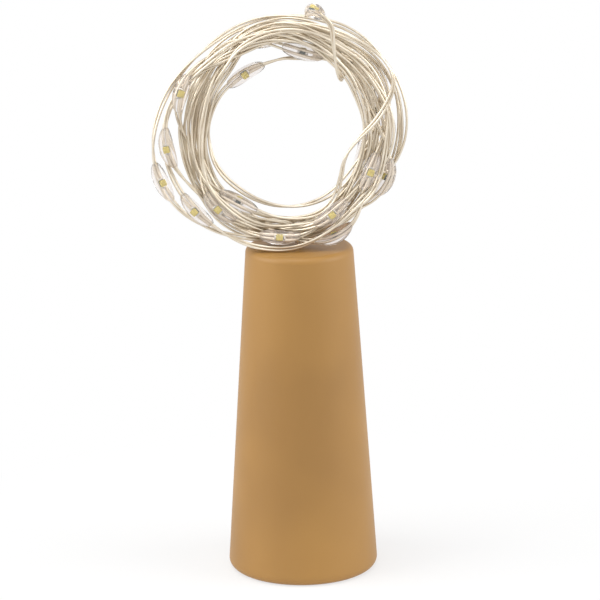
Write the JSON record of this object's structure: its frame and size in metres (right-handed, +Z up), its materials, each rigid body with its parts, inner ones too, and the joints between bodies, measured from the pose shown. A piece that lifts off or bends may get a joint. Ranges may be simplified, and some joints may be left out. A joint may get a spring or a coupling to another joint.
{
  "type": "bottle light",
  "caption": "Cork-shaped battery light for a bottle neck, with a pull-out cell carrier, a slide switch and a coiled string of small lights on a two-core wire.",
  "frame": {"origin": "centre of the wide end, on the plane that the cork stands on", "axes": "+Z up along the cork's axis to its narrow end; the coiled string's ring faces -Y"},
  "size_m": [0.0406, 0.0238, 0.0931],
  "materials": {
    "cork": "satin",
    "sealant": "satin",
    "wire": "satin",
    "carrier": "matte",
    "cell": "brushed",
    "contact": "bright",
    "switch_metal": "satin",
    "switch_plastic": "matte",
    "knob": "matte",
    "board": "satin",
    "resistor": "matte",
    "solder": "bright",
    "bead": "gloss",
    "chip": "gloss"
  },
  "bodies": {
    "cork_body": {"cork_shell": "cork", "wire_seal": "sealant", "inner_cord": "wire", "string_lead": "wire", "string_coil": "wire", "string_tail": "wire", "light_chips": "chip", "light_bead_01": "bead", "light_bead_02": "bead", "light_bead_03": "bead", "light_bead_04": "bead", "light_bead_05": "bead", "light_bead_06": "bead", "light_bead_07": "bead", "light_bead_08": "bead", "light_bead_09": "bead", "light_bead_10": "bead", "light_bead_11": "bead", "light_bead_12": "bead", "light_bead_13": "bead", "light_bead_14": "bead", "light_bead_15": "bead", "light_bead_16": "bead", "light_bead_17": "bead", "light_bead_18": "bead", "light_bead_19": "bead", "light_bead_20": "bead"},
    "carrier": {"battery_carrier": "carrier", "button_cell_1": "cell", "button_cell_2": "cell", "button_cell_3": "cell", "contact_plate": "contact", "resistor": "resistor", "return_lead": "wire", "solder_joints": "solder", "spring_contact": "contact", "supply_lead": "wire", "switch_base": "switch_plastic", "switch_board": "board", "switch_can": "switch_metal", "switch_terminals": "contact"},
    "switch_slider": {"switch_knob": "knob", "switch_wiper": "contact"}
  },
  "joints": [
    {"name": "carrier_slide", "type": "slide", "parent": "cork_body", "child": "carrier", "axis": [0, 0, -1], "range_m": [0, 0.032]},
    {"name": "switch_slide", "type": "slide", "parent": "carrier", "child": "switch_slider", "axis": [1, 0, 0], "range_m": [0, 0.002]}
  ]
}
